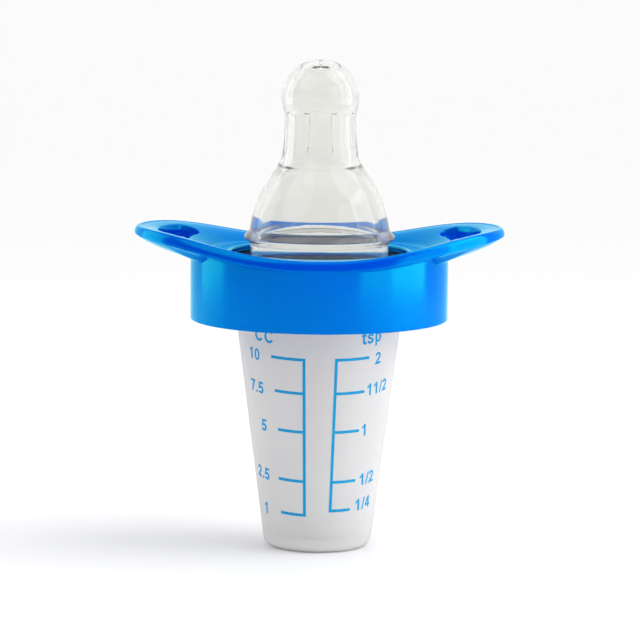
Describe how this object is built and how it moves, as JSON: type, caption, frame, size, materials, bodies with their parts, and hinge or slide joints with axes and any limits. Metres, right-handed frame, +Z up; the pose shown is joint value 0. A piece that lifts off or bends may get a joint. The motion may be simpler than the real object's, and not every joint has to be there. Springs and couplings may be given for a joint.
{
  "type": "oral medicine dispenser",
  "caption": "Baby medicine dispenser: a tapered dosing vial, a screw collar with a winged shield, and a soft nipple to drink through.",
  "frame": {"origin": "centre of the vial's base, on the surface it stands on", "axes": "+Z up along the vial's axis to the nipple's tip, +X along the shield's wings, -Y the front with the printed scales"},
  "size_m": [0.0642, 0.045, 0.0846],
  "materials": {
    "vial_plastic": "frosted translucent",
    "silicone": "clear, glossy",
    "collar_plastic": "glossy moulded"
  },
  "bodies": {
    "vial": {"dosing_vial": "vial_plastic"},
    "nipple": {"nipple": "silicone"},
    "collar": {"shield_collar": "collar_plastic"}
  },
  "joints": [
    {"name": "nipple_lift", "type": "slide", "parent": "vial", "child": "nipple", "axis": [0, 0, 1], "range_m": [0, 0.00525]},
    {"name": "collar_turn", "type": "hinge", "parent": "nipple", "child": "collar", "pos_m": [0, 0, 0.0457], "axis": [0, 0, 1], "range_deg": [0, 630]}
  ],
  "couplings": [
    {"joint": "nipple_lift", "follows": "collar_turn", "m_per_rad": 0.00047746}
  ]
}
